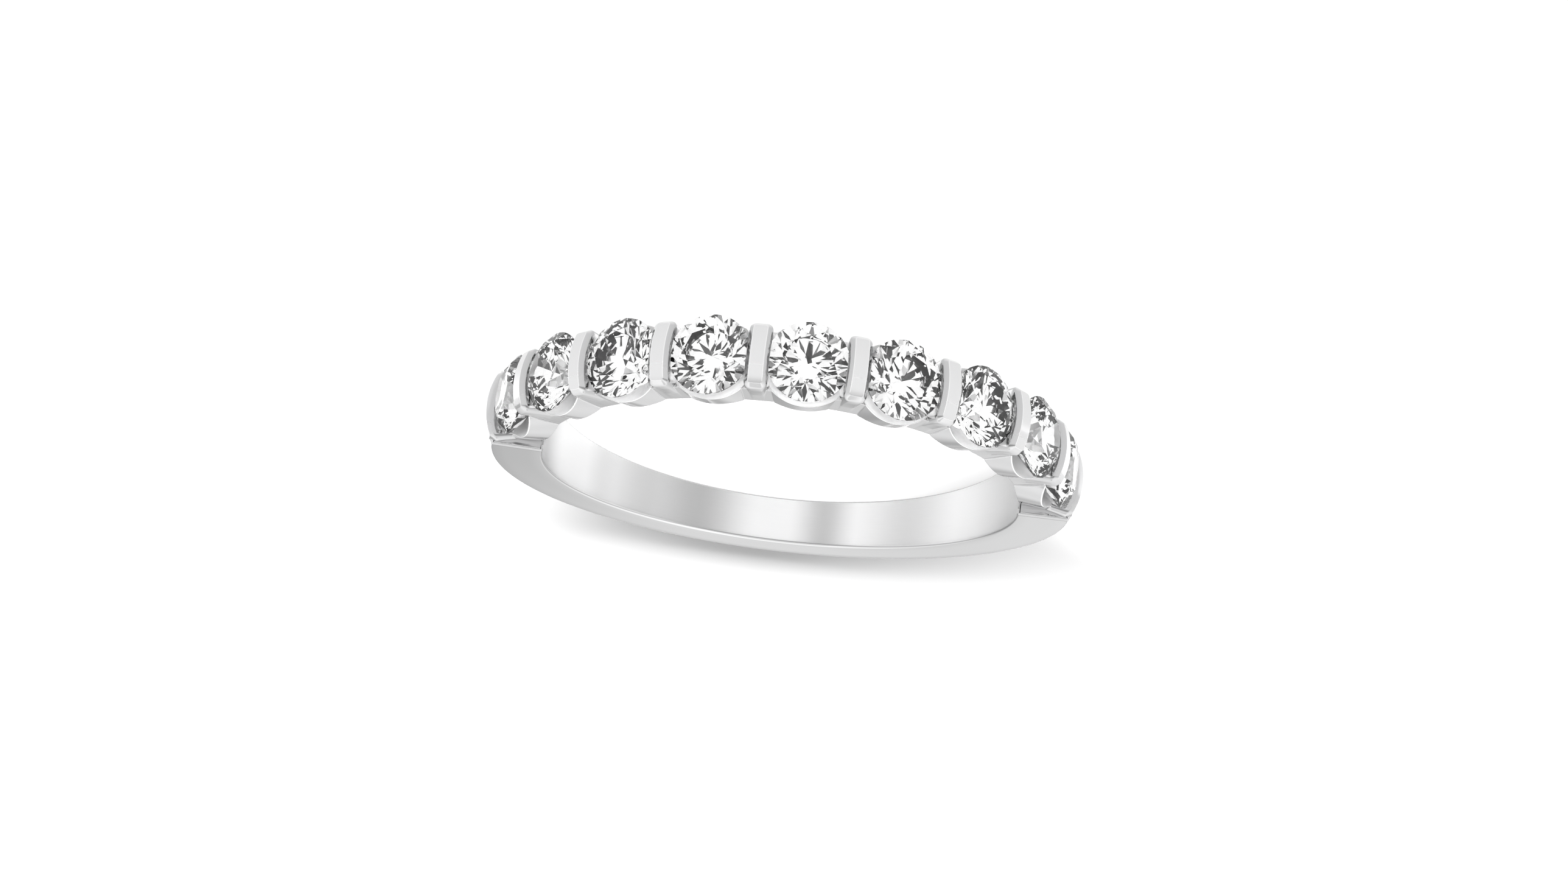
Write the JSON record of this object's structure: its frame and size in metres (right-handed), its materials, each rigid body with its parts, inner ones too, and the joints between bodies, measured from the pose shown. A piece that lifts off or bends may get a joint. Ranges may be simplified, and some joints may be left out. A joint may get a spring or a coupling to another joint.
{
  "type": "diamond band ring",
  "caption": "Half-eternity finger ring: a row of round brilliant stones held between upright bars, on a plain tapering polished metal shank.",
  "frame": {"origin": "middle of the finger hole, on its axis and halfway across the ring's width", "axes": "+Z along the finger hole's axis, -Y towards the middle stone, so the ring lies on its side; +X towards stone 1"},
  "size_m": [0.0218, 0.021, 0.003],
  "materials": {
    "white_metal": "polished outside, satin in the finger hole",
    "diamond": "faceted and polished"
  },
  "bodies": {
    "root": {"band": "white_metal", "stone_1": "diamond", "stone_2": "diamond", "stone_3": "diamond", "stone_4": "diamond", "stone_5": "diamond", "stone_6": "diamond", "stone_7": "diamond", "stone_8": "diamond", "stone_9": "diamond"}
  },
  "joints": []
}
